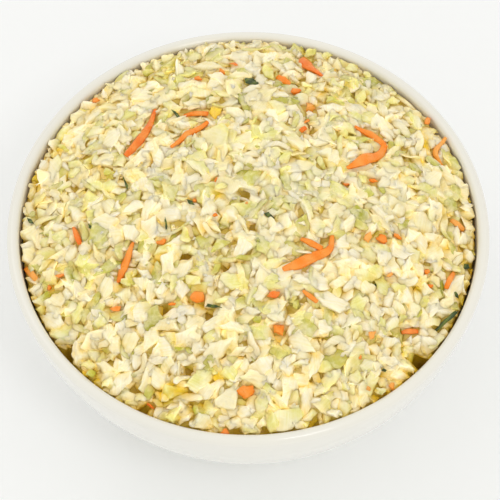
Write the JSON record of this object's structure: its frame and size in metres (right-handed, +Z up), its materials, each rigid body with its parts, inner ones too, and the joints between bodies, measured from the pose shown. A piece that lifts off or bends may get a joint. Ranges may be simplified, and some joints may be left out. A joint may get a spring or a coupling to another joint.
{
  "type": "bowl of coleslaw",
  "caption": "Plain white round bowl heaped above its rim with finely chopped, dressed cabbage and carrot salad.",
  "frame": {"origin": "middle of the foot ring's flat underside, on the surface that the bowl stands on", "axes": "+Z up along the bowl's axis; +Y away from the picture's camera, +X to its right"},
  "size_m": [0.16, 0.16, 0.0819],
  "materials": {
    "bowl_glaze": "smooth gloss white glaze",
    "dressed_cabbage": "moist chopped cabbage in creamy dressing, cream to pale green",
    "carrot": "moist orange shreds",
    "dark_leaf": "moist dark green leaf bits",
    "dressing": "thin glossy cream dressing"
  },
  "bodies": {
    "root": {"bowl": "bowl_glaze", "slaw": "dressed_cabbage"}
  },
  "joints": []
}
